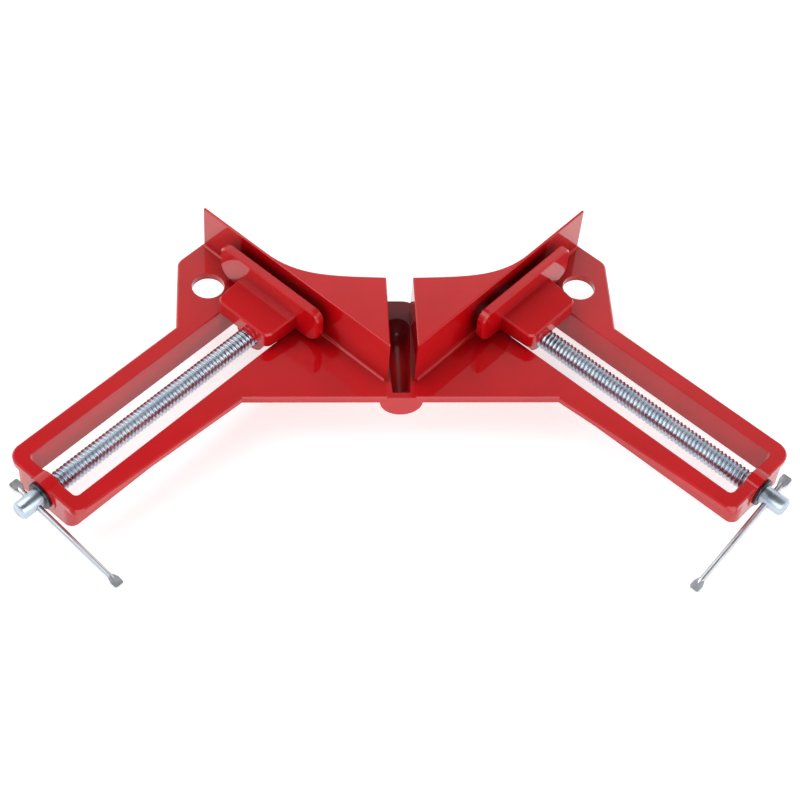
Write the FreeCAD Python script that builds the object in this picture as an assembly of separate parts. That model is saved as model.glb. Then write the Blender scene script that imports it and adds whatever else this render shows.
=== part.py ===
"""Two-screw corner clamp, 100 mm class: a die-cast frame, two travelling jaws, their screws and tommy bars.

Millimetres. Z = 0 is the top of the base plate, which carries the work, and +Z is up.
The origin is midway between the two bench holes. X runs to the right, Y to the back,
and X = 0 is the plane of symmetry.
Each arm leaves the corner at 45 degrees. Along an arm, u is the distance outward from the
corner, square to that arm's fence, and v is the distance sideways, towards the back.
"""
import FreeCAD, Part
import math
import os

from FreeCAD import Vector

os.makedirs("parts", exist_ok=True)

# Bench holes
ear_hole_diameter = 12.4
ear_hole_spacing = 143.0
corner_y = -25.4             # where the arms' u and v are both zero

# Frame, heights
body_depth = 12.7            # top of the base plate down to the lower edge of the rims
plate_thickness = 2.8
fence_height = 20.2
fence_top = 1.0              # thickness of the fence at its round top
top_plate_thickness = 2.4
wall = 2.2                   # fence walls and the rims under the plate
cross_rib = 2.6

# Frame, along an arm
fence_u = 18.6               # face of the fence
fence_end_v = 84.8           # outer end of the fence
ear_edge_v = 85.8            # edge of the ear
slot_end_u = 134.0
slot_width = 25.0
slot_middle_v = 43.4
slot_corner_radius = 2.0     # at the arm's end; the fence end is square
end_wall = 5.1               # beyond the slot, at the arm's end
back_flange = 6.6            # base plate beyond the slot, at the back
front_flange = 6.0           # base plate beyond the slot, at the arm's end
near_corner_radius = 4.0
far_corner_radius = 6.0
rim_corner_radius = 3.5

# Frame, across the clamp
front_edge = 29.0            # from the corner forward to the front edge
front_edge_half = 58.6       # half length of the straight front edge
ear_margin = 11.8            # from the bench hole's centre to the ear's end
ear_corner_radius = 5.0
cross_rib_set = 8.0          # from the corner forward to the rib's rear face
top_plate_back = 12.5        # from the corner back to the top plates' rear edge, at the gap
top_plate_bend_x = 26.0      # the rear edge leaves the gap on a line through this point
top_plate_bend_rise = 0.7
top_plate_join_v = 53.0      # where the rear edge runs into the fence
top_plate_join_reach = 17.0
gap_half = 5.0               # half the gap between the two fences
gap_wall = 2.4

# Frame, edges
edge_chamfer = 0.6           # upper outer edges of the plate
top_edge_chamfer = 0.4       # rear and gap edges of the top plates
slot_edge_chamfer = 0.35
foot_radius = 1.2            # where a fence meets the plate

# Pocket under the gap
tongue_half = 9.2
tongue_back = 18.0           # from the corner back to the tongue's end
tongue_corner_radius = 7.0
pocket_back = 9.8            # from the corner back to the pocket's outer end
pocket_radius = 5.3          # outside
pocket_depth = 9.9           # outside, below the plate's top
pocket_wall = 1.9
pocket_front_half = 3.3      # half width of the mouth at the front
flange_radius = 8.0          # half-round flange at the front
flange_thickness = 2.4

# Screw
screw_drop = 5.7             # axis below the plate's top
thread_diameter = 8.0
shank_diameter = 7.2
running_play = 0.08          # radial, screw in the frame
thread_play = 0.06           # radial, screw in the jaw
shoulder_gap = 0.2           # thread's end to the end wall
tail_beyond = 3.2            # tail beyond the fence wall
tail_chamfer = 1.2
barrel_length = 10.6
barrel_chamfer = 0.7
boss_radius = 6.95
boss_proud = 0.4

# Retaining rings
ring_diameter = 10.8
ring_thickness = 0.9
ring_gap = 0.2               # to the wall beside it
ring_opening = 2.6
groove_depth = 0.5
groove_slack = 0.1
ring_play = 0.04             # radial, ring on its groove

# Tommy bar
bar_diameter = 2.4
bar_play = 0.08
bar_long = 45.0              # screw axis to the far end at rest
bar_short = 10.5
bar_set = 3.1                # behind the outer ring
paddle_length = 5.0
paddle_width = 4.0
paddle_thickness = 1.7
paddle_spread = 2.0          # length over which the round bar turns flat
paddle_corner = 0.8
bar_tilt = {"left": 8.0, "right": 18.0}    # degrees below level

# Jaw
jaw_gap = 3.3                # to the fence at rest
jaw_plate = 3.8
jaw_height = 17.5            # above the base plate
jaw_width = 51.0
jaw_corner_radius = 4.0
jaw_lower_radius = 6.0
jaw_chamfer = 0.7            # edges of the plate and the block's upper edges
jaw_clear = 1.6              # above the base plate
block_depth = 14.2
block_height = 9.2           # where it meets the plate
block_rear_height = 7.8
block_half_front = 14.2
block_half_rear = 13.2
block_corner_radius = 3.0
block_clear = 1.5            # above the base plate
collar_diameter = 13.4
collar_length = 10.4
collar_set = 3.0             # behind the jaw's face
neck_half = 5.2

# Derived places
root2 = math.sqrt(2.0)
ear_half = 0.5 * ear_hole_spacing + ear_margin
fence_back_u = fence_u - wall
slot_near_v = slot_middle_v - 0.5 * slot_width
slot_far_v = slot_middle_v + 0.5 * slot_width
arm_end_u = slot_end_u + end_wall
boss_face_u = arm_end_u + boss_proud
jaw_face_u = fence_u + jaw_gap
jaw_rear_u = jaw_face_u + jaw_plate + block_depth
outer_ring_u = boss_face_u + ring_gap
inner_ring_u = fence_u + ring_gap
barrel_end_u = boss_face_u + barrel_length
bar_u = outer_ring_u + ring_thickness + bar_set
half_plate_z = -0.5 * plate_thickness
top_overlap_z = fence_height - 0.5 * top_plate_thickness
top_front_u = fence_u - 0.5 * fence_top
top_back_u = fence_u - fence_top


def plan(u, v):
    """Right arm's (u, v) as X and Y."""
    return (u + v) / root2, (v - u) / root2 + corner_y


def on_arm(shape):
    """Carry a shape modelled with X = u and Y = v onto the right arm."""
    placed = shape.copy()
    placed.rotate(Vector(0, 0, 0), Vector(0, 0, 1), -45)
    placed.translate(Vector(0, corner_y, 0))
    return placed


def mirrored(shape):
    return shape.mirror(Vector(0, 0, 0), Vector(1, 0, 0))


def rounded_outline(corners, z=0.0):
    """Closed wire through (x, y, corner radius) points, with an arc where a radius is given."""
    count = len(corners)
    starts = []
    middles = []
    ends = []
    for i in range(count):
        x, y, radius = corners[i]
        here = Vector(x, y, z)
        before = Vector(corners[i - 1][0], corners[i - 1][1], z) - here
        after = Vector(corners[(i + 1) % count][0], corners[(i + 1) % count][1], z) - here
        before.normalize()
        after.normalize()
        half = 0.5 * before.getAngle(after)
        inward = before + after
        if radius > 0:
            inward.normalize()
        starts.append(here + before * (radius / math.tan(half)))
        middles.append(here + inward * (radius / math.sin(half) - radius))
        ends.append(here + after * (radius / math.tan(half)))
    edges = []
    for i in range(count):
        if corners[i][2] > 0:
            edges.append(Part.Arc(starts[i], middles[i], ends[i]).toShape())
        edges.append(Part.LineSegment(ends[i], starts[(i + 1) % count]).toShape())
    return Part.Wire(edges)


def prism(corners, z_low, z_high):
    return Part.Face(rounded_outline(corners, z_low)).extrude(Vector(0, 0, z_high - z_low))


def arm_box(u_low, u_high, v_low, v_high, z_low, z_high):
    return Part.makeBox(u_high - u_low, v_high - v_low, z_high - z_low, Vector(u_low, v_low, z_low))


def arm_rod(radius, u_low, u_high):
    """Round bar on the screw's axis."""
    return Part.makeCylinder(radius, u_high - u_low, Vector(u_low, slot_middle_v, -screw_drop), Vector(1, 0, 0))


def top_edges(shape, z):
    """Edges of a shape that lie wholly at height z."""
    return [edge for edge in shape.Edges if edge.BoundBox.ZMin > z - 1e-6 and edge.BoundBox.ZMax < z + 1e-6]


def middle_on_arm(edge):
    """Middle of an edge as the right arm's u and v."""
    middle = edge.valueAt(0.5 * (edge.FirstParameter + edge.LastParameter))
    return (middle.x - middle.y + corner_y) / root2, (middle.x + middle.y - corner_y) / root2


def on_slot(edge):
    u, v = middle_on_arm(edge)
    return fence_u + 0.01 < u < slot_end_u + 0.01 and abs(v - slot_middle_v) < 0.5 * slot_width + 0.01


def slot_cutter():
    """Slot through the plate and the rims, from the fence's face to the arm's end."""
    corners = [(fence_u, slot_near_v, 0), (slot_end_u, slot_near_v, slot_corner_radius),
               (slot_end_u, slot_far_v, slot_corner_radius), (fence_u, slot_far_v, 0)]
    return on_arm(prism(corners, -body_depth - 1, 0))


def plate_half():
    """Base plate of the right half: front apron, arm, ear and the strip under the fence, with its slot."""
    back_v = slot_far_v + back_flange
    ear_foot_y = back_v * root2 - ear_half + corner_y
    ear_top_y = ear_edge_v * root2 - ear_half + corner_y
    rear_y = corner_y - cross_rib_set
    rib_x = fence_back_u * root2 - cross_rib_set
    corners = [
        (0, corner_y - front_edge, 0),
        (front_edge_half, corner_y - front_edge, 0),
        plan(arm_end_u, slot_near_v - front_flange) + (near_corner_radius,),
        plan(arm_end_u, back_v) + (far_corner_radius,),
        (ear_half, ear_foot_y, 0),
        (ear_half, ear_top_y, ear_corner_radius),
        plan(fence_back_u, ear_edge_v) + (0,),
        (rib_x, rear_y, 0),
        (0, rear_y, 0),
    ]
    plate = prism(corners, -plate_thickness, 0).cut(slot_cutter())
    outer = [edge for edge in top_edges(plate, 0)
             if middle_on_arm(edge)[0] > fence_u and edge.BoundBox.XMax > 0.01 and not on_slot(edge)]
    plate = plate.makeChamfer(edge_chamfer, outer)
    return plate.makeChamfer(slot_edge_chamfer, [edge for edge in top_edges(plate, 0) if on_slot(edge)])


def rim_half():
    """Wall under the plate round the slot, as deep as the body."""
    near_v = slot_near_v - wall
    far_v = slot_far_v + wall
    rim = prism([(fence_back_u, near_v, 0), (arm_end_u, near_v, rim_corner_radius),
                 (arm_end_u, far_v, rim_corner_radius), (fence_back_u, far_v, 0)], -body_depth, half_plate_z)
    boss = arm_rod(boss_radius, slot_end_u, boss_face_u)
    return on_arm(rim.fuse(boss))


def fence_wall_half():
    """Fence above the plate, thinner towards its round top, from the gap to its outer end."""
    radius = 0.5 * fence_top
    shoulder_z = fence_height - radius
    round_top = Part.Arc(Vector(fence_u, 0, shoulder_z), Vector(fence_u - radius, 0, fence_height),
                         Vector(top_back_u, 0, shoulder_z)).toShape()
    corners = [Vector(top_back_u, 0, shoulder_z), Vector(fence_back_u, 0, half_plate_z),
               Vector(fence_u, 0, half_plate_z), Vector(fence_u, 0, shoulder_z)]
    edges = [round_top]
    for first, second in zip(corners, corners[1:]):
        edges.append(Part.LineSegment(first, second).toShape())
    section = Part.Face(Part.Wire(edges))
    section.translate(Vector(0, -fence_u, 0))
    wall_body = on_arm(section.extrude(Vector(0, fence_u + fence_end_v, 0)))
    return wall_body.cut(Part.makeBox(fence_u, 4 * fence_u, 2 * fence_height,
                                      Vector(gap_half - fence_u, corner_y - 3 * fence_u, -body_depth)))


def lower_rib_half():
    """Rib under the plate: along the fence, then across the clamp behind the front apron."""
    rear_y = corner_y - cross_rib_set
    front_y = rear_y - cross_rib
    corners = [
        (0, front_y, 0),
        (fence_u * root2 - cross_rib_set - cross_rib, front_y, 0),
        plan(fence_u, fence_end_v) + (0,),
        plan(fence_back_u, fence_end_v) + (0,),
        (fence_back_u * root2 - cross_rib_set, rear_y, 0),
        (0, rear_y, 0),
    ]
    return prism(corners, -body_depth, half_plate_z)


def top_plate_half():
    """Flat top, whose rear edge leaves the gap nearly straight and curves into the fence."""
    z = fence_height - top_plate_thickness
    start = Vector(gap_half, corner_y + top_plate_back, z)
    finish = Vector(*plan(top_back_u, top_plate_join_v), z)
    along_fence = Vector(1, 1, 0).normalize()
    curve = Part.BezierCurve()
    curve.setPoles([start, Vector(top_plate_bend_x, start.y + top_plate_bend_rise, z),
                    finish - along_fence * top_plate_join_reach, finish])
    gap_front = corner_y + gap_half - top_front_u * root2
    corners = [finish, Vector(*plan(top_front_u, top_plate_join_v), z), Vector(gap_half, gap_front, z), start]
    edges = [curve.toShape()]
    for first, second in zip(corners, corners[1:]):
        edges.append(Part.LineSegment(first, second).toShape())
    body = Part.Face(Part.Wire(edges)).extrude(Vector(0, 0, top_plate_thickness))
    open_edges = [edge for edge in top_edges(body, fence_height) if middle_on_arm(edge)[0] < top_back_u - 0.1]
    return body.makeChamfer(top_edge_chamfer, open_edges)


def foot_strip(v_low, v_high):
    """Hollow rounding where the fence meets the plate."""
    start = Vector(fence_u + foot_radius, v_low, 0)
    finish = Vector(fence_u, v_low, foot_radius)
    reach = foot_radius * (1 - math.sqrt(0.5))
    arc = Part.Arc(start, Vector(fence_u + reach, v_low, reach), finish).toShape()
    corners = [finish, Vector(fence_back_u + 0.5 * wall, v_low, foot_radius),
               Vector(fence_back_u + 0.5 * wall, v_low, half_plate_z),
               Vector(fence_u + foot_radius, v_low, half_plate_z), start]
    edges = [arc]
    for first, second in zip(corners, corners[1:]):
        edges.append(Part.LineSegment(first, second).toShape())
    return on_arm(Part.Face(Part.Wire(edges)).extrude(Vector(0, v_high - v_low, 0)))


def gap_wall_half():
    """Wall along the gap, from the fence to the rear edge of the top plate."""
    front_y = corner_y + gap_half + gap_wall - 0.5 * (fence_u + fence_back_u) * root2
    back_y = corner_y + top_plate_back
    corners = [(gap_half, front_y, 0), (gap_half + gap_wall, front_y, 0), (gap_half + gap_wall, back_y, 0),
               (gap_half, back_y, 0)]
    return prism(corners, half_plate_z, top_overlap_z)


def tongue():
    """Base plate carried back under the gap, with a round end."""
    front_y = corner_y - cross_rib_set - 0.5 * cross_rib
    back_y = corner_y + tongue_back
    corners = [(-tongue_half, front_y, 0), (tongue_half, front_y, 0),
               (tongue_half, back_y, tongue_corner_radius), (-tongue_half, back_y, tongue_corner_radius)]
    return prism(corners, -plate_thickness, 0)


def pocket_section(radius, depth, top_half, y, whole=True):
    """Section across the pocket: sides that lean in to a half round at the bottom."""
    centre_z = radius - depth
    low = Vector(0, y, -depth)
    right = Vector(radius, y, centre_z)
    top_right = Vector(top_half, y, 0)
    left = Vector(-radius, y, centre_z)
    top_left = Vector(-top_half, y, 0)
    if whole:
        edges = [Part.Arc(left, low, right).toShape(), Part.LineSegment(right, top_right).toShape(),
                 Part.LineSegment(top_right, top_left).toShape(), Part.LineSegment(top_left, left).toShape()]
    else:
        corner = Vector(radius * math.sin(math.pi / 4), y, centre_z - radius * math.cos(math.pi / 4))
        edges = [Part.Arc(low, corner, right).toShape(), Part.LineSegment(right, top_right).toShape(),
                 Part.LineSegment(top_right, Vector(0, y, 0)).toShape(),
                 Part.LineSegment(Vector(0, y, 0), low).toShape()]
    return Part.Wire(edges)


def pocket_solid(radius, depth, top_half, front_radius, front_top_half, front_y, turn_y):
    """Trough from front_y to turn_y, with a round rear end about the upright line at turn_y."""
    rear = pocket_section(radius, depth, top_half, turn_y)
    front = pocket_section(front_radius, depth, front_top_half, front_y)
    trough = Part.makeLoft([front, rear], True, True)
    dome = Part.Face(pocket_section(radius, depth, top_half, turn_y, False))
    dome = dome.revolve(Vector(0, turn_y, 0), Vector(0, 0, 1), 180)
    return trough.fuse(dome)


def front_flange_plate():
    """Half-round plate that closes the pocket at the front edge."""
    y = corner_y - front_edge
    edges = [Part.Arc(Vector(-flange_radius, y, half_plate_z), Vector(0, y, -pocket_depth - 0.2),
                      Vector(flange_radius, y, half_plate_z)).toShape(),
             Part.LineSegment(Vector(flange_radius, y, half_plate_z), Vector(-flange_radius, y, half_plate_z)).toShape()]
    return Part.Face(Part.Wire(edges)).extrude(Vector(0, flange_thickness, 0))


def frame():
    turn_y = corner_y + pocket_back - pocket_radius
    front_y = corner_y - front_edge
    inner_radius = pocket_radius - pocket_wall
    gap_v = gap_half * root2 - fence_u
    lower = rim_half().fuse(lower_rib_half()).cut(slot_cutter())
    half = plate_half().fuse([lower, fence_wall_half(), top_plate_half(), gap_wall_half(),
                              foot_strip(gap_v + foot_radius, slot_near_v), foot_strip(slot_far_v, fence_end_v)])
    shank_hole = on_arm(arm_rod(0.5 * shank_diameter + running_play, slot_end_u - 1, boss_face_u + 1))
    tail_hole = on_arm(arm_rod(0.5 * thread_diameter + running_play, fence_back_u - 1, fence_u + 1))
    bench_hole = Part.makeCylinder(0.5 * ear_hole_diameter, body_depth + 1,
                                   Vector(0.5 * ear_hole_spacing, 0, -body_depth))
    half = half.cut([shank_hole, tail_hole, bench_hole])
    outside = pocket_solid(pocket_radius, pocket_depth, pocket_radius, pocket_radius, pocket_radius, front_y, turn_y)
    whole = half.fuse([mirrored(half), tongue(), outside, front_flange_plate()])
    inside = pocket_solid(inner_radius, pocket_depth - pocket_wall, gap_half - 0.2, pocket_front_half - 0.9,
                          pocket_front_half, front_y + flange_thickness, turn_y)
    return whole.cut(inside).removeSplitter()


def ring(u_low, seat_diameter):
    """Snap ring in its groove, with the opening at the bottom."""
    body = arm_rod(0.5 * ring_diameter, u_low, u_low + ring_thickness)
    body = body.cut(arm_rod(0.5 * seat_diameter + ring_play, u_low - 1, u_low + ring_thickness + 1))
    half = 0.5 * ring_opening
    opening = arm_box(u_low - 1, u_low + ring_thickness + 1, slot_middle_v - half, slot_middle_v + half,
                      -screw_drop - ring_diameter, -screw_drop)
    return body.cut(opening)


def groove(u_low, outer_diameter):
    width = ring_thickness + groove_slack
    start = u_low - 0.5 * groove_slack
    cutter = arm_rod(0.5 * outer_diameter + 1, start, start + width)
    return cutter.cut(arm_rod(0.5 * outer_diameter - groove_depth, start, start + width))


def screw(tilt):
    """Threaded length, plain shank and the barrel with its cross hole."""
    tail_u = fence_back_u - tail_beyond
    body = arm_rod(0.5 * thread_diameter, tail_u, slot_end_u - shoulder_gap)
    tail = [edge for edge in body.Edges if edge.BoundBox.XMax < tail_u + 1e-3]
    body = body.makeChamfer(tail_chamfer, tail)
    shank = arm_rod(0.5 * shank_diameter, slot_end_u - shoulder_gap, barrel_end_u)
    end = [edge for edge in shank.Edges if abs(edge.BoundBox.XMin - barrel_end_u) < 1e-6]
    body = body.fuse(shank.makeChamfer(barrel_chamfer, end))
    angle = math.radians(tilt)
    along = Vector(0, -math.cos(angle), -math.sin(angle))
    centre = Vector(bar_u, slot_middle_v, -screw_drop)
    hole = Part.makeCylinder(0.5 * bar_diameter + bar_play, 2 * shank_diameter,
                             centre - along * shank_diameter, along)
    return body.cut([hole, groove(outer_ring_u, shank_diameter), groove(inner_ring_u, thread_diameter)])


def tommy_bar(tilt):
    """Round bar with a flattened paddle at each end, modelled along X and then set in the barrel."""
    radius = 0.5 * bar_diameter
    half_flat = 0.5 * paddle_thickness
    body = Part.makeCylinder(radius, bar_long + bar_short - 2 * paddle_length,
                             Vector(paddle_length - bar_short, 0, 0), Vector(1, 0, 0))
    for tip, way in ((bar_long, 1), (-bar_short, -1)):
        neck = tip - way * paddle_length
        full = neck + way * paddle_spread
        taper = Part.makeCone(radius, half_flat, paddle_spread, Vector(neck, 0, 0), Vector(way, 0, 0))
        outline = [(neck, -radius, 0), (full, -0.5 * paddle_width, 0), (tip, -0.5 * paddle_width, paddle_corner),
                   (tip, 0.5 * paddle_width, paddle_corner), (full, 0.5 * paddle_width, 0), (neck, radius, 0)]
        if way < 0:
            outline.reverse()
        body = body.fuse([taper, prism(outline, -half_flat, half_flat)])
    body.rotate(Vector(0, 0, 0), Vector(0, 0, 1), -90)
    body.rotate(Vector(0, 0, 0), Vector(1, 0, 0), tilt)
    body.translate(Vector(bar_u, slot_middle_v, -screw_drop))
    return body


def jaw():
    """Upright plate, the block behind it and the tapped collar below."""
    half = 0.5 * jaw_width
    plate_corners = [(-half, jaw_clear, jaw_lower_radius), (half, jaw_clear, jaw_lower_radius),
                     (half, jaw_height, jaw_corner_radius), (-half, jaw_height, jaw_corner_radius)]
    plate = Part.Face(rounded_outline(plate_corners)).extrude(Vector(0, 0, jaw_plate))
    plate.rotate(Vector(0, 0, 0), Vector(1, 0, 0), 90)
    plate.rotate(Vector(0, 0, 0), Vector(0, 0, 1), 90)
    plate.translate(Vector(jaw_face_u, slot_middle_v, 0))
    plate = plate.makeChamfer(jaw_chamfer, [edge for edge in plate.Edges if edge.BoundBox.XLength < 1e-6])
    front_u = jaw_face_u + 0.5 * jaw_plate
    plan_corners = [(front_u, slot_middle_v - block_half_front, 0),
                    (jaw_rear_u, slot_middle_v - block_half_rear, block_corner_radius),
                    (jaw_rear_u, slot_middle_v + block_half_rear, block_corner_radius),
                    (front_u, slot_middle_v + block_half_front, 0)]
    block = prism(plan_corners, block_clear, block_height + jaw_chamfer)
    fall = math.atan2(block_height - block_rear_height, block_depth)
    above = Part.makeBox(3 * block_depth, 4 * block_half_front, 2 * block_height,
                         Vector(-block_depth, slot_middle_v - 2 * block_half_front, 0))
    above.rotate(Vector(0, 0, 0), Vector(0, 1, 0), math.degrees(fall))
    above.translate(Vector(jaw_face_u + jaw_plate, 0, block_height))
    block = block.cut(above)
    top = [face for face in block.Faces if face.normalAt(0, 0).z > 0.5][0]
    rim_edges = [edge for edge in top.Edges if edge.BoundBox.XMax > front_u + 1e-3]
    block = block.makeChamfer(jaw_chamfer, rim_edges)
    collar_u = jaw_face_u + collar_set
    collar = arm_rod(0.5 * collar_diameter, collar_u, collar_u + collar_length)
    neck = arm_box(collar_u, collar_u + collar_length, slot_middle_v - neck_half, slot_middle_v + neck_half,
                   -screw_drop, 0.5 * block_height)
    body = plate.fuse([block, collar, neck])
    hole = arm_rod(0.5 * thread_diameter + thread_play, collar_u - 1, collar_u + collar_length + 1)
    return body.cut(hole).removeSplitter()


def write(name, shape):
    shape.exportStep(f"parts/{name}.step")
    box = shape.BoundBox
    print(name, "valid" if shape.isValid() else "NOT VALID", len(shape.Solids), len(shape.Faces),
          [round(value, 2) for value in (box.XMin, box.XMax, box.YMin, box.YMax, box.ZMin, box.ZMax)])


def main():
    write("frame", frame())
    for side in ("right", "left"):
        tilt = bar_tilt[side]
        pieces = {
            "jaw": jaw(),
            "screw": screw(tilt),
            "outer_ring": ring(outer_ring_u, shank_diameter - 2 * groove_depth),
            "inner_ring": ring(inner_ring_u, thread_diameter - 2 * groove_depth),
            "tommy_bar": tommy_bar(tilt),
        }
        for name, shape in pieces.items():
            placed = on_arm(shape)
            if side == "left":
                placed = mirrored(placed)
            write(f"{side}_{name}", placed)


main()
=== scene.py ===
"""A two-screw corner clamp in red gloss enamel, with zinc plated screws and bright tommy bars."""

import math

import bpy
import numpy as np
from mathutils import Matrix, Vector


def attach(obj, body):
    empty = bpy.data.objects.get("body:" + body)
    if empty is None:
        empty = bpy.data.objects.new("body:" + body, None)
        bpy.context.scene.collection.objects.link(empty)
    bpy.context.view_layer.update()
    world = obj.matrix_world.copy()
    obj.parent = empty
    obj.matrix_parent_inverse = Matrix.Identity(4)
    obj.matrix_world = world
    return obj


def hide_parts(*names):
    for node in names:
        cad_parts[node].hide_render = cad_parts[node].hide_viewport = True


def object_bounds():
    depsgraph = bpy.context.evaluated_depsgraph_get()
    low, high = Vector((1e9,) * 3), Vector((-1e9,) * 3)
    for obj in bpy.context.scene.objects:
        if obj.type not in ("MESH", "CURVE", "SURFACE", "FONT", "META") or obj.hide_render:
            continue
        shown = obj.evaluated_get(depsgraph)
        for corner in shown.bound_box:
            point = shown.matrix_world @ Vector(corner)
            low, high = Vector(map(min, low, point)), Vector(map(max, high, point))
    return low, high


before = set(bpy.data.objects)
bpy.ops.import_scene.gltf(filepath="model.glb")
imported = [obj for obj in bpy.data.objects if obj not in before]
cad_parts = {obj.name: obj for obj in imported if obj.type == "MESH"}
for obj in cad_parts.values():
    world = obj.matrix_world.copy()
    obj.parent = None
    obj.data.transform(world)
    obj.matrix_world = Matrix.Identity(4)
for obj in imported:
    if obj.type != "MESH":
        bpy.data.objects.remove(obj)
CAD_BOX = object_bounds()

MM = 0.001

# Places on an arm: u runs outward along the screw and v sideways, from the corner
CORNER_Y_MM = -25.4
SCREW_V_MM = 43.4
SCREW_Z_MM = -5.7
TAIL_U_MM = 13.2
SHOULDER_U_MM = 133.8
INNER_GROOVE_MM = (18.75, 19.75)
INNER_GROOVE_RADIUS_MM = 3.5

# Thread, right-hand on both screws. Its heights are those of the steps over one pitch, crest 1 and root 0
PITCH_MM = 1.7
CREST_RADIUS_MM = 4.0
ROOT_RADIUS_MM = 3.3
TAIL_ROUND_MM = 1.6
THREAD_STEPS = (0.0, 0.10, 0.22, 0.40, 0.50, 0.60, 0.78, 0.90)
THREAD_HEIGHTS = (1.0, 0.95, 0.72, 0.18, 0.0, 0.18, 0.72, 0.95, 1.0)
STEPS_AROUND = 32

# Mesh
SAME_POINT_M = 1e-6
SHOULDER_SLACK_MM = 0.05
SHARP_EDGE = math.radians(50)

# Colours, linear
ENAMEL = (0.62, 0.0022, 0.0062)
ENAMEL_THICK = (0.56, 0.0016, 0.0048)
# Lighter enamel along edges: partly thinner paint, partly a painted highlight
ENAMEL_THIN_EDGE_AND_HIGHLIGHT = (0.70, 0.012, 0.016)
# Dark enamel for recesses: painted shade
ENAMEL_PAINTED_SHADE = (0.24, 0.0008, 0.0022)
# Dark greyish red for the tongue behind the gap: painted shade
TONGUE_PAINTED_SHADE = (0.085, 0.016, 0.020)
ZINC_BLUE = (0.44, 0.53, 0.64)
ZINC_PALE = (0.54, 0.61, 0.68)
SPRING_BLACK = (0.055, 0.055, 0.065)
SPRING_EDGE = (0.30, 0.30, 0.32)
BAR_BRIGHT = (0.74, 0.78, 0.82)
BAR_DULL = (0.66, 0.69, 0.73)

# Camera, fitted to the photograph
IMAGE_PIXELS = 800
SENSOR_MM = 36.0
CAMERA_AZIMUTH = math.radians(-7.32)
CAMERA_ELEVATION = math.radians(51.65)
CAMERA_ROLL = math.radians(-5.71)
CAMERA_DISTANCE_MM = 736.67
PIXELS_PER_MM = 2.72
CAMERA_TARGET_MM = (-0.73, -55.4, 0.0)

# Floor
FLOOR_REACH_M = 3.0
FLOOR_DROP_MM = 0.4
FLOOR_GREY = 0.88
FLOOR_LIFT = 0.55

# Room, by direction: z is the sine of the elevation, and y points to the back
WALL_TOP_Z = (0.73, 0.80)
WALL_STRENGTH = 1.10
CEILING_STRENGTH = 0.18
FRONT_TO_BACK_Y = (-0.6, 0.3)
FRONT_SHARE = 0.45

# Lamps: place, aim and size in metres, power in watts
LEFT_BOX = {"place": (-0.8, 0.1, 1.15), "target": (0, -0.04, 0), "size": (0.9, 0.9), "power": 5.5}
FRONT_BOX = {"place": (0.3, -1.3, 0.6), "target": (0, -0.05, 0), "size": (2.0, 0.9), "power": 11.0}


def node(tree, kind, **settings):
    """New shader node. A setting named in_NAME goes to that input, any other to the node itself."""
    made = tree.nodes.new(kind)
    for key, value in settings.items():
        if key.startswith("in_"):
            made.inputs[key[3:].replace("_", " ")].default_value = value
        else:
            setattr(made, key, value)
    return made


def combine(tree, operation, first, second=0.0, **settings):
    """Result of a Math node on two sockets or numbers."""
    made = node(tree, "ShaderNodeMath", operation=operation, **settings)
    for socket, value in zip(made.inputs, (first, second)):
        if isinstance(value, float):
            socket.default_value = value
        else:
            tree.links.new(value, socket)
    return made.outputs["Value"]


def ramp(tree, value, start, end, to=(0.0, 1.0), **settings):
    """The value's way from start to end, as a number in the range to."""
    made = node(tree, "ShaderNodeMapRange", in_From_Min=start, in_From_Max=end,
                in_To_Min=to[0], in_To_Max=to[1], **settings)
    tree.links.new(value, made.inputs["Value"])
    return made.outputs["Result"]


def blend(tree, mask, first, second):
    """Colour that goes from the first to the second as the mask rises. Each is a socket or a colour."""
    mix = node(tree, "ShaderNodeMix", data_type="RGBA")
    tree.links.new(mask, mix.inputs["Factor"])
    for name, colour in (("A", first), ("B", second)):
        if isinstance(colour, tuple):
            mix.inputs[name].default_value = (*colour, 1)
        else:
            tree.links.new(colour, mix.inputs[name])
    return mix.outputs["Result"]


def coordinates(tree, kind="Object"):
    """X, Y and Z of the texture coordinates of this kind."""
    place = node(tree, "ShaderNodeTexCoord")
    parts = node(tree, "ShaderNodeSeparateXYZ")
    tree.links.new(place.outputs[kind], parts.inputs["Vector"])
    return parts.outputs["X"], parts.outputs["Y"], parts.outputs["Z"]


def effect_group(name, inputs, outputs):
    """Empty node group with float inputs and outputs of the given kinds."""
    group = bpy.data.node_groups.new(name, "ShaderNodeTree")
    for key, value in inputs.items():
        socket = group.interface.new_socket(key, in_out="INPUT", socket_type="NodeSocketFloat")
        socket.default_value = value
    for key, kind in outputs.items():
        group.interface.new_socket(key, in_out="OUTPUT", socket_type="NodeSocket" + kind)
    return group, group.nodes.new("NodeGroupInput"), group.nodes.new("NodeGroupOutput")


def make_drift():
    """Slow change over the surface, between Low and High, from noise of about 1 / Scale metres."""
    group, given, out = effect_group("surface_drift", {"Scale": 60.0, "Low": 0.0, "High": 1.0},
                                     {"Value": "Float"})
    links = group.links
    place = node(group, "ShaderNodeTexCoord")
    noise = node(group, "ShaderNodeTexNoise", in_Detail=3.0, in_Roughness=0.55)
    spread = node(group, "ShaderNodeMapRange", in_From_Min=0.35, in_From_Max=0.65)
    links.new(place.outputs["Object"], noise.inputs["Vector"])
    links.new(given.outputs["Scale"], noise.inputs["Scale"])
    links.new(noise.outputs["Fac"], spread.inputs["Value"])
    links.new(given.outputs["Low"], spread.inputs["To Min"])
    links.new(given.outputs["High"], spread.inputs["To Max"])
    links.new(spread.outputs["Result"], out.inputs["Value"])
    return group


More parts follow.
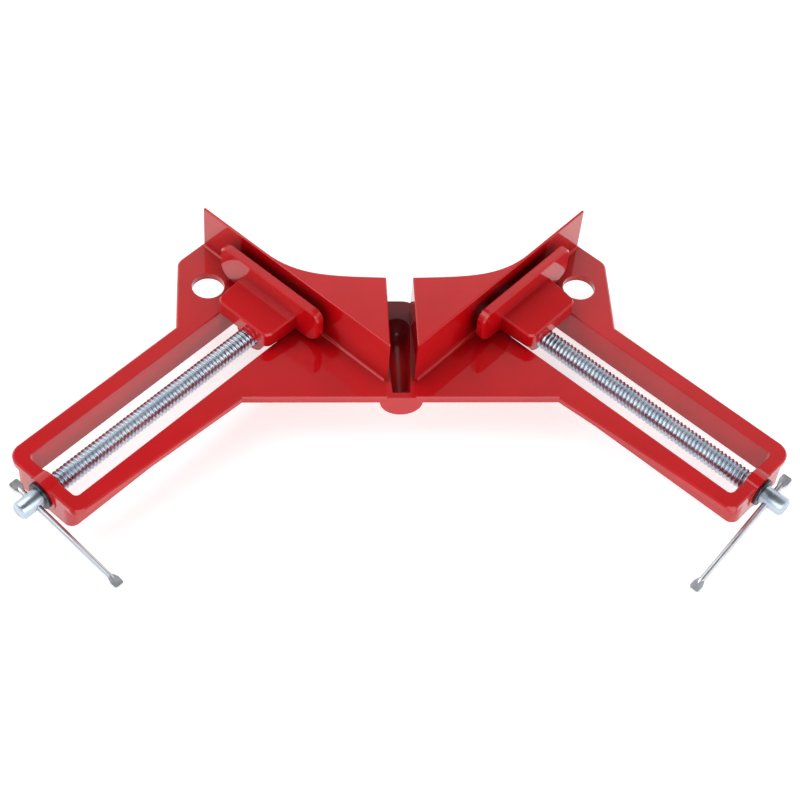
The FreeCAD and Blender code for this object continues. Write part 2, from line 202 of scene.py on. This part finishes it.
def make_soft_edges():
    """Normal rounded over edges by Radius, and an Edge mask of how far that turns it."""
    group, given, out = effect_group("soft_edges", {"Radius": 0.0005, "Gain": 4.0},
                                     {"Normal": "Vector", "Edge": "Float"})
    links = group.links
    bevel = node(group, "ShaderNodeBevel", samples=6)
    flat = node(group, "ShaderNodeNewGeometry")
    agreement = node(group, "ShaderNodeVectorMath", operation="DOT_PRODUCT")
    links.new(given.outputs["Radius"], bevel.inputs["Radius"])
    links.new(bevel.outputs["Normal"], agreement.inputs[0])
    links.new(flat.outputs["Normal"], agreement.inputs[1])
    turned = combine(group, "SUBTRACT", 1.0, agreement.outputs["Value"])
    mask = combine(group, "MULTIPLY", turned, given.outputs["Gain"], use_clamp=True)
    links.new(bevel.outputs["Normal"], out.inputs["Normal"])
    links.new(mask, out.inputs["Edge"])
    return group


def make_turning_marks():
    """Fine rings round either screw: noise of the distance u = (|x| - y) / sqrt 2 along the arm."""
    group, given, out = effect_group("turning_marks", {"Lines": 2500.0}, {"Height": "Float"})
    x, y, _ = coordinates(group)
    along = combine(group, "SUBTRACT", combine(group, "ABSOLUTE", x), y)
    scaled = combine(group, "MULTIPLY", along, given.outputs["Lines"])
    noise = node(group, "ShaderNodeTexNoise", noise_dimensions="1D", in_Scale=1.0, in_Detail=2.0)
    group.links.new(scaled, noise.inputs["W"])
    group.links.new(noise.outputs["Fac"], out.inputs["Height"])
    return group


def make_recess_shade():
    """Open mask: 1 on free surfaces, falling to 0 deep in a recess no wider than Reach. Where it is low the
    enamel gets painted shade: a darker colour and a weaker coat.

    On the slot and pocket walls, below the plate's top and in front of the bench holes, it is 1 again, so
    these walls get no painted shade.
    """
    group, given, out = effect_group("recess", {"Reach": 0.010}, {"Open": "Float"})
    hidden = node(group, "ShaderNodeAmbientOcclusion", samples=6)
    group.links.new(given.outputs["Reach"], hidden.inputs["Distance"])
    free = ramp(group, hidden.outputs["AO"], 0.25, 0.85)
    _, y, z = coordinates(group)
    below = ramp(group, z, -0.0002, -0.0015)
    forward = ramp(group, y, -0.010, -0.014)
    drained = combine(group, "MULTIPLY", below, forward)
    group.links.new(combine(group, "MAXIMUM", free, drained), out.inputs["Open"])
    return group


def make_tongue_shade():
    """Painted shade mask: 1 on the plate's tongue behind the gap, fading out forwards and to the sides."""
    group, given, out = effect_group("tongue_shade", {"Strength": 1.0}, {"Shade": "Float"})
    x, y, z = coordinates(group)
    away = combine(group, "ABSOLUTE", x)
    across = ramp(group, away, 0.0120, 0.0085, interpolation_type="SMOOTHSTEP")
    along = ramp(group, y, -0.034, -0.015, interpolation_type="SMOOTHSTEP")
    low = ramp(group, z, 0.004, 0.001)
    spot = combine(group, "MULTIPLY", combine(group, "MULTIPLY", across, along), low)
    group.links.new(combine(group, "MULTIPLY", spot, given.outputs["Strength"]), out.inputs["Shade"])
    return group


DRIFT = make_drift()
SOFT_EDGES = make_soft_edges()
TURNING_MARKS = make_turning_marks()
RECESS_SHADE = make_recess_shade()
TONGUE_SHADE = make_tongue_shade()


def place_group(tree, group, **values):
    """A shared group placed in a material, with its inputs set."""
    made = tree.nodes.new("ShaderNodeGroup")
    made.node_tree = group
    for key, value in values.items():
        made.inputs[key].default_value = value
    return made


def drift(tree, scale, low=0.0, high=1.0):
    """Value that drifts slowly over the surface between low and high."""
    return place_group(tree, DRIFT, Scale=scale, Low=low, High=high).outputs["Value"]


def new_material(name, **values):
    """Material with its shader's plain inputs set."""
    material = bpy.data.materials.new(name)
    material.use_nodes = True
    tree = material.node_tree
    shader = tree.nodes["Principled BSDF"]
    for key, value in values.items():
        shader.inputs[key.replace("_", " ")].default_value = value
    return material, tree, shader


def bump(tree, height, strength, distance, normal):
    """Normal raised by the height, on top of the given normal."""
    made = node(tree, "ShaderNodeBump", in_Strength=strength, in_Distance=distance)
    tree.links.new(height, made.inputs["Height"])
    tree.links.new(normal, made.inputs["Normal"])
    return made.outputs["Normal"]


def red_enamel():
    """Thick gloss enamel with slight orange peel.

    It is lighter on the edges, partly as thinner enamel and partly as a painted highlight, and it has
    painted shade, darker and with a weaker coat, in the recesses and on the tongue behind the gap.
    """
    material, tree, shader = new_material("red_enamel", Roughness=0.42, Specular_IOR_Level=0.1,
                                          Coat_Roughness=0.035)
    links = tree.links
    edges = place_group(tree, SOFT_EDGES, Radius=0.0006, Gain=1.2)
    # The open mask gives painted shade in recesses: darker enamel and a weaker coat
    is_open = place_group(tree, RECESS_SHADE, Reach=0.012).outputs["Open"]
    # Painted shade on the tongue behind the gap: darker, greyer enamel and a duller coat
    shaded_tongue = place_group(tree, TONGUE_SHADE, Strength=0.85).outputs["Shade"]
    body = blend(tree, drift(tree, 45.0), ENAMEL, ENAMEL_THICK)
    # Lighter along the edges: partly thinner enamel, partly a painted highlight
    thin_edge_and_highlight = blend(tree, edges.outputs["Edge"], body, ENAMEL_THIN_EDGE_AND_HIGHLIGHT)
    # Painted shade in the recesses
    recess_painted_shade = blend(tree, is_open, ENAMEL_PAINTED_SHADE, thin_edge_and_highlight)
    # Painted shade on the tongue behind the gap
    links.new(blend(tree, shaded_tongue, recess_painted_shade, TONGUE_PAINTED_SHADE), shader.inputs["Base Color"])
    coat = ramp(tree, is_open, 0.0, 1.0, to=(0.70, 1.0))
    dulled = ramp(tree, shaded_tongue, 0.0, 1.0, to=(1.0, 0.4))
    links.new(combine(tree, "MULTIPLY", coat, dulled), shader.inputs["Coat Weight"])
    normal = bump(tree, drift(tree, 420.0), 0.05, 0.0002, edges.outputs["Normal"])
    links.new(normal, shader.inputs["Normal"])
    return material


def zinc_plate():
    """Bright zinc: bluish with a faint pale drift, and fine turning marks."""
    material, tree, shader = new_material("zinc_plate", Metallic=1.0)
    links = tree.links
    edges = place_group(tree, SOFT_EDGES, Radius=0.00025, Gain=1.0)
    marks = place_group(tree, TURNING_MARKS, Lines=4200.0)
    links.new(blend(tree, drift(tree, 130.0), ZINC_BLUE, ZINC_PALE), shader.inputs["Base Color"])
    links.new(drift(tree, 300.0, 0.26, 0.38), shader.inputs["Roughness"])
    normal = bump(tree, marks.outputs["Height"], 0.12, 0.00006, edges.outputs["Normal"])
    links.new(normal, shader.inputs["Normal"])
    return material


def spring_steel():
    """Blued spring steel, nearly black, with bare edges and an oily drift."""
    material, tree, shader = new_material("spring_steel", Metallic=1.0)
    links = tree.links
    edges = place_group(tree, SOFT_EDGES, Radius=0.0002, Gain=3.0)
    links.new(blend(tree, edges.outputs["Edge"], SPRING_BLACK, SPRING_EDGE), shader.inputs["Base Color"])
    links.new(drift(tree, 500.0, 0.28, 0.42), shader.inputs["Roughness"])
    links.new(edges.outputs["Normal"], shader.inputs["Normal"])
    return material


def bright_bar():
    """Drawn bright steel with a dull drift and a faintly uneven surface."""
    material, tree, shader = new_material("bright_bar", Metallic=1.0)
    links = tree.links
    edges = place_group(tree, SOFT_EDGES, Radius=0.0003, Gain=1.0)
    links.new(blend(tree, drift(tree, 90.0), BAR_BRIGHT, BAR_DULL), shader.inputs["Base Color"])
    links.new(drift(tree, 350.0, 0.28, 0.42), shader.inputs["Roughness"])
    normal = bump(tree, drift(tree, 1200.0), 0.08, 0.00008, edges.outputs["Normal"])
    links.new(normal, shader.inputs["Normal"])
    return material


def assign(name, material):
    """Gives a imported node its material."""
    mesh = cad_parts[name].data
    mesh.materials.clear()
    mesh.materials.append(material)


def from_arm(points, side):
    """Rows of u, v, z in millimetres on one arm, as metres in the row frame."""
    u, v, z = points.T
    return np.stack([side * (u + v) / math.sqrt(2), (v - u) / math.sqrt(2) + CORNER_Y_MM, z], 1) * MM


def thread_radius(u, turns):
    """Radius of the thread at distance u, where it has wound on by so many turns.

    Over one pitch it follows a ridge with a rounded crest and root. At the tail it is held under a
    quarter circle, and in the ring's groove under the groove's radius.
    """
    ridge = np.interp(np.mod(u / PITCH_MM - turns, 1.0), (*THREAD_STEPS, 1.0), THREAD_HEIGHTS)
    radius = ROOT_RADIUS_MM + (CREST_RADIUS_MM - ROOT_RADIUS_MM) * ridge
    left = TAIL_ROUND_MM - np.clip(u - TAIL_U_MM, 0.0, TAIL_ROUND_MM)
    radius = np.minimum(radius, CREST_RADIUS_MM - TAIL_ROUND_MM + np.sqrt(TAIL_ROUND_MM ** 2 - left ** 2))
    in_groove = (u > INNER_GROOVE_MM[0]) & (u < INNER_GROOVE_MM[1])
    return np.where(in_groove, np.minimum(radius, INNER_GROOVE_RADIUS_MM), radius)


def merged_skin(points, faces):
    """The points without doubles, and the triangles that keep three different corners."""
    _, first, same = np.unique(np.round(points / SAME_POINT_M).astype(np.int64), axis=0,
                               return_index=True, return_inverse=True)
    faces = same.reshape(-1)[faces]
    whole = (faces != np.roll(faces, 1, axis=1)).all(axis=1)
    used, packed = np.unique(faces[whole], return_inverse=True)
    return points[first[used]], packed.reshape(-1, 3)


def screw_thread(side):
    """Threaded length of a right-handed screw, as points and triangles.

    The grid is the step along the axis by the angle round it. Each angle starts its steps further out
    by its share of a pitch, so the rows of points run along the ridge. A row that comes round meets
    the row one pitch on. Steps beyond either end are held at that end, where a flat disc closes it.
    """
    steps = len(THREAD_STEPS)
    turns = math.ceil((SHOULDER_U_MM - TAIL_U_MM) / PITCH_MM)
    angle = np.arange(STEPS_AROUND) * 2 * np.pi / STEPS_AROUND
    turned = side * angle / (2 * np.pi)
    whole = np.arange(-2, turns + 3)[:, None] + np.array(THREAD_STEPS)[None, :]
    first = math.floor(TAIL_U_MM / PITCH_MM)
    u = PITCH_MM * (first + whole.reshape(-1, 1) + turned[None, :])
    u = np.clip(u, TAIL_U_MM, SHOULDER_U_MM)
    radius = thread_radius(u, turned[None, :])
    v = SCREW_V_MM + radius * np.cos(angle)
    z = SCREW_Z_MM + radius * np.sin(angle)
    grid = np.stack([u, v, z], -1).reshape(-1, 3)
    middles = np.array([[TAIL_U_MM, SCREW_V_MM, SCREW_Z_MM], [SHOULDER_U_MM, SCREW_V_MM, SCREW_Z_MM]])

    rows = np.arange(steps, len(u) - steps - 1)[:, None]
    here = np.arange(STEPS_AROUND)
    after = (here + 1) % STEPS_AROUND
    shift = np.where(after == 0, side * steps, 0)
    p = rows * STEPS_AROUND + here
    q = (rows + shift) * STEPS_AROUND + after
    r = q + STEPS_AROUND
    s = p + STEPS_AROUND
    walls = np.concatenate([np.stack([p, q, r], -1), np.stack([p, r, s], -1)]).reshape(-1, 3)
    tail = np.full(STEPS_AROUND, len(grid))
    last = (len(u) - 1) * STEPS_AROUND
    discs = np.concatenate([np.stack([tail, after, here], 1),
                            np.stack([tail + 1, last + here, last + after], 1)])
    faces = np.concatenate([walls, discs])
    if side < 0:
        faces = faces[:, ::-1]
    return merged_skin(from_arm(np.concatenate([grid, middles]), side), faces)


def screw_barrel(side, source):
    """Shank and barrel, as points and triangles.

    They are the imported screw's own faces beyond the shoulder, closed there by a flat disc.
    """
    points = np.zeros(len(source.data.vertices) * 3)
    source.data.vertices.foreach_get("co", points)
    points = points.reshape(-1, 3)
    faces = np.zeros(len(source.data.polygons) * 3, dtype=int)
    source.data.polygons.foreach_get("vertices", faces)
    faces = faces.reshape(-1, 3)
    u = (side * points[:, 0] - points[:, 1] + CORNER_Y_MM * MM) / math.sqrt(2) / MM
    beyond = ((u[faces].min(axis=1) > SHOULDER_U_MM - SHOULDER_SLACK_MM)
              & (u[faces].max(axis=1) > SHOULDER_U_MM + SHOULDER_SLACK_MM))
    points, faces = merged_skin(points, faces[beyond])

    edges = np.concatenate([faces[:, [0, 1]], faces[:, [1, 2]], faces[:, [2, 0]]])
    present = set(map(tuple, edges.tolist()))
    rim = np.array([edge for edge in edges.tolist() if (edge[1], edge[0]) not in present])
    middle = from_arm(np.array([[SHOULDER_U_MM, SCREW_V_MM, SCREW_Z_MM]]), side)
    disc = np.stack([rim[:, 1], rim[:, 0], np.full(len(rim), len(points))], 1)
    return np.concatenate([points, middle]), np.concatenate([faces, disc])


def screw_piece(name, skin, zinc, body):
    """Smooth zinc plated piece with its sharp edges kept, riding on a body."""
    points, faces = skin
    mesh = bpy.data.meshes.new(name)
    mesh.from_pydata(points.tolist(), [], faces.tolist())
    mesh.materials.append(zinc)
    mesh.polygons.foreach_set("use_smooth", np.ones(len(mesh.polygons), dtype=bool))
    mesh.set_sharp_from_angle(angle=SHARP_EDGE)
    obj = bpy.data.objects.new(name, mesh)
    bpy.context.collection.objects.link(obj)
    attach(obj, body)
    return obj


def dress():
    """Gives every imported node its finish, and puts a real thread and the barrel in each screw's place."""
    enamel = red_enamel()
    zinc = zinc_plate()
    spring = spring_steel()
    bright = bright_bar()
    assign("frame", enamel)
    for name, side in (("left", -1), ("right", 1)):
        assign(f"{name}_jaw", enamel)
        assign(f"{name}_outer_ring", spring)
        assign(f"{name}_inner_ring", spring)
        assign(f"{name}_tommy_bar", bright)
        screw = f"{name}_screw"
        thread = screw_piece(f"{name}_screw_thread", screw_thread(side), zinc, screw)
        barrel = screw_piece(f"{name}_screw_barrel", screw_barrel(side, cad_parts[screw]), zinc, screw)
        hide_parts(screw)
        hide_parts(screw)


def camera():
    """Looks at the target from its azimuth and elevation, then rolls about its own axis."""
    a, e, r = CAMERA_AZIMUTH, CAMERA_ELEVATION, CAMERA_ROLL
    right = Vector((math.cos(a), math.sin(a), 0))
    forward = Vector((-math.sin(a) * math.cos(e), math.cos(a) * math.cos(e), -math.sin(e)))
    up = right.cross(forward)
    x_axis = right * math.cos(r) - up * math.sin(r)
    y_axis = right * math.sin(r) + up * math.cos(r)
    place = Vector(CAMERA_TARGET_MM) * MM - forward * CAMERA_DISTANCE_MM * MM
    data = bpy.data.cameras.new("camera")
    data.sensor_width = SENSOR_MM
    data.lens = PIXELS_PER_MM * CAMERA_DISTANCE_MM * SENSOR_MM / IMAGE_PIXELS
    obj = bpy.data.objects.new("camera", data)
    bpy.context.collection.objects.link(obj)
    turn = Matrix((x_axis, y_axis, -forward)).transposed().to_4x4()
    obj.matrix_world = Matrix.Translation(place) @ turn
    bpy.context.scene.camera = obj


def floor():
    """Pale floor just under the lowest point.

    It lifts itself to white where it is seen, keeps the shadow, and is clear from below.
    """
    far = FLOOR_REACH_M
    z = CAD_BOX[0][2] - FLOOR_DROP_MM * MM
    mesh = bpy.data.meshes.new("floor")
    mesh.from_pydata([(-far, -far, z), (far, -far, z), (far, far, z), (-far, far, z)], [], [(0, 1, 2, 3)])
    obj = bpy.data.objects.new("floor", mesh)
    bpy.context.collection.objects.link(obj)
    material, tree, shader = new_material("floor", Base_Color=(FLOOR_GREY, FLOOR_GREY, FLOOR_GREY, 1),
                                          Roughness=0.8, Specular_IOR_Level=0.1,
                                          Emission_Color=(1, 1, 1, 1))
    path = node(tree, "ShaderNodeLightPath").outputs
    mirrored = combine(tree, "ADD", path["Is Glossy Ray"], path["Is Transmission Ray"])
    seen = combine(tree, "ADD", path["Is Camera Ray"], mirrored, use_clamp=True)
    tree.links.new(combine(tree, "MULTIPLY", seen, FLOOR_LIFT), shader.inputs["Emission Strength"])
    geometry = node(tree, "ShaderNodeNewGeometry")
    clear = node(tree, "ShaderNodeBsdfTransparent")
    mix = node(tree, "ShaderNodeMixShader")
    tree.links.new(geometry.outputs["Backfacing"], mix.inputs["Fac"])
    tree.links.new(shader.outputs["BSDF"], mix.inputs[1])
    tree.links.new(clear.outputs["BSDF"], mix.inputs[2])
    tree.links.new(mix.outputs["Shader"], tree.nodes["Material Output"].inputs["Surface"])
    mesh.materials.append(material)


def area_lamp(name, place, target, size, power):
    """Rectangular lamp at a place, aimed at the target."""
    data = bpy.data.lights.new(name, "AREA")
    data.shape = "RECTANGLE"
    data.size, data.size_y = size
    data.energy = power
    obj = bpy.data.objects.new(name, data)
    bpy.context.collection.objects.link(obj)
    obj.location = place
    aim = Vector(target) - Vector(place)
    obj.rotation_euler = aim.to_track_quat("-Z", "Y").to_euler()


def light():
    """Pale room: bright walls that end halfway up, brightest behind, a dark ceiling, a box high at the
    left and a wide low one in front."""
    world = bpy.data.worlds.new("world")
    world.use_nodes = True
    tree = world.node_tree
    background = tree.nodes["Background"]
    _, y, z = coordinates(tree, "Generated")
    wall = ramp(tree, z, *WALL_TOP_Z, to=(WALL_STRENGTH, CEILING_STRENGTH))
    share = ramp(tree, y, *FRONT_TO_BACK_Y, to=(FRONT_SHARE, 1.0), interpolation_type="SMOOTHSTEP")
    tree.links.new(combine(tree, "MULTIPLY", wall, share), background.inputs["Strength"])
    background.inputs["Color"].default_value = (1.0, 1.0, 1.0, 1)
    bpy.context.scene.world = world
    area_lamp("left box", **LEFT_BOX)
    area_lamp("front box", **FRONT_BOX)


camera()
floor()
light()
dress()
bpy.context.scene.view_settings.view_transform = "Standard"
